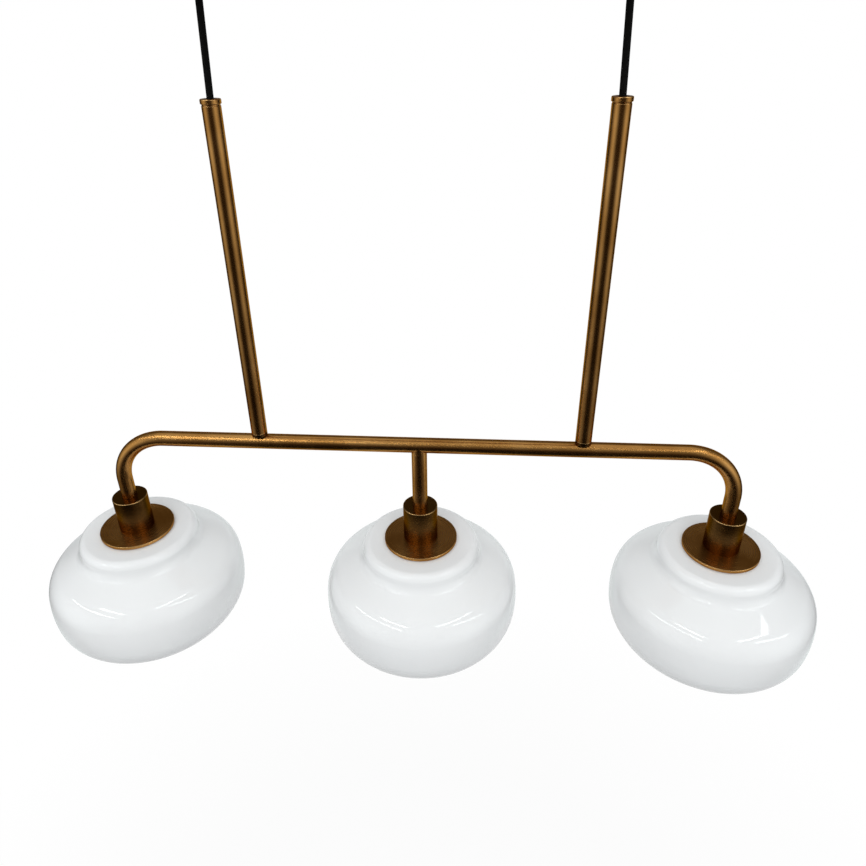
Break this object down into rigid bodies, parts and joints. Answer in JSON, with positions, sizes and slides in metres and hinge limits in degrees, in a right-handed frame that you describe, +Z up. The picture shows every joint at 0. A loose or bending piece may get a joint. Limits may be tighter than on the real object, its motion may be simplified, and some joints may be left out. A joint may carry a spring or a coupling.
{
  "type": "linear island pendant",
  "caption": "Linear island pendant: opal glass bowl shades under a bent brass tube, hung by two cords from an obround canopy.",
  "frame": {"origin": "middle of the ceiling plane that the canopy's rim seats on", "axes": "+Z up, +X along the bar and the canopy, -Y towards the viewer of the picture"},
  "size_m": [0.8134, 0.2034, 0.649],
  "materials": {
    "brass": "brushed antique brass under a clear lacquer",
    "opal_glass": "white opal glass, glossy",
    "black_fabric": "braided black cord cover",
    "lead_sheath": "matte black cable sheath",
    "nylon": "moulded black nylon",
    "black_nylon": "moulded black nylon",
    "zinc_steel": "zinc-plated steel",
    "green_steel": "green-dyed steel",
    "connector_plastic": "moulded plastic",
    "contact_brass": "bare brass",
    "phenolic": "black phenolic moulding",
    "washer_rubber": "clear silicone",
    "bulb_glass": "frosted bulb glass",
    "bulb_cap_metal": "nickel-plated"
  },
  "bodies": {
    "ceiling": {"canopy_pan": "brass", "ceiling_crossbar": "zinc_steel", "canopy_studs": "zinc_steel", "cap_nuts": "brass", "ground_screw": "green_steel", "grip_nuts": "zinc_steel", "wire_connectors": "connector_plastic", "cord_grip_left": "brass", "cord_grip_right": "brass", "grip_cap_left": "brass", "grip_cap_right": "brass", "canopy_lead_left": "lead_sheath", "canopy_lead_right": "lead_sheath"},
    "cord_swivels": {"swivel_ball_left": "nylon", "swivel_ball_right": "nylon"},
    "cord_left": {"cord_left": "black_fabric"},
    "cord_right": {"cord_right": "black_fabric"},
    "frame": {"bar_tube": "brass", "centre_drop": "brass", "bar_lead": "lead_sheath", "drop_lead": "lead_sheath", "threaded_nipples": "zinc_steel", "lock_nuts": "zinc_steel", "centre_contacts": "contact_brass", "stem_left": "brass", "stem_right": "brass", "stem_cap_left": "brass", "stem_cap_right": "brass", "cord_bush_left": "black_nylon", "cord_bush_right": "black_nylon", "stem_lead_left": "black_fabric", "stem_lead_right": "black_fabric", "socket_cup_left": "brass", "socket_cup_centre": "brass", "socket_cup_right": "brass", "lampholder_left": "phenolic", "lampholder_centre": "phenolic", "lampholder_right": "phenolic", "screw_shell_left": "contact_brass", "screw_shell_centre": "contact_brass", "screw_shell_right": "contact_brass"},
    "shade_left": {"shade_disc_left": "brass", "shade_washer_left": "washer_rubber", "shade_glass_left": "opal_glass", "shade_ring_left": "phenolic"},
    "bulb_left": {"bulb_glass_left": "bulb_glass", "bulb_cap_left": "bulb_cap_metal"},
    "shade_centre": {"shade_disc_centre": "brass", "shade_washer_centre": "washer_rubber", "shade_glass_centre": "opal_glass", "shade_ring_centre": "phenolic"},
    "bulb_centre": {"bulb_glass_centre": "bulb_glass", "bulb_cap_centre": "bulb_cap_metal"},
    "shade_right": {"shade_disc_right": "brass", "shade_washer_right": "washer_rubber", "shade_glass_right": "opal_glass", "shade_ring_right": "phenolic"},
    "bulb_right": {"bulb_glass_right": "bulb_glass", "bulb_cap_right": "bulb_cap_metal"}
  },
  "joints": [
    {"name": "swing_fore_aft", "type": "hinge", "parent": "ceiling", "child": "cord_swivels", "pos_m": [0, 0, -0.031], "axis": [1, 0, 0], "range_deg": [-15, 15]},
    {"name": "sway", "type": "hinge", "parent": "cord_swivels", "child": "cord_left", "pos_m": [-0.153, 0, -0.031], "axis": [0, 1, 0], "range_deg": [-15, 15]},
    {"name": "sway_right_cord", "type": "hinge", "parent": "cord_swivels", "child": "cord_right", "pos_m": [0.153, 0, -0.031], "axis": [0, 1, 0], "range_deg": [-16, 16]},
    {"name": "frame_level", "type": "hinge", "parent": "cord_left", "child": "frame", "pos_m": [-0.156, 0, -0.11], "axis": [0, 1, 0], "range_deg": [-16, 16]},
    {"name": "shade_drop_left", "type": "slide", "parent": "frame", "child": "shade_left", "axis": [0, 0, -1], "range_m": [0, 0.009]},
    {"name": "shade_drop_centre", "type": "slide", "parent": "frame", "child": "shade_centre", "axis": [0, 0, -1], "range_m": [0, 0.009]},
    {"name": "shade_drop_right", "type": "slide", "parent": "frame", "child": "shade_right", "axis": [0, 0, -1], "range_m": [0, 0.009]},
    {"name": "bulb_out_left", "type": "slide", "parent": "frame", "child": "bulb_left", "axis": [0, 0, -1], "range_m": [0, 0.024]},
    {"name": "bulb_out_centre", "type": "slide", "parent": "frame", "child": "bulb_centre", "axis": [0, 0, -1], "range_m": [0, 0.024]},
    {"name": "bulb_out_right", "type": "slide", "parent": "frame", "child": "bulb_right", "axis": [0, 0, -1], "range_m": [0, 0.024]}
  ],
  "couplings": [
    {"joint": "sway_right_cord", "follows": "sway", "ratio": 1},
    {"joint": "frame_level", "follows": "sway", "ratio": -0.98}
  ]
}
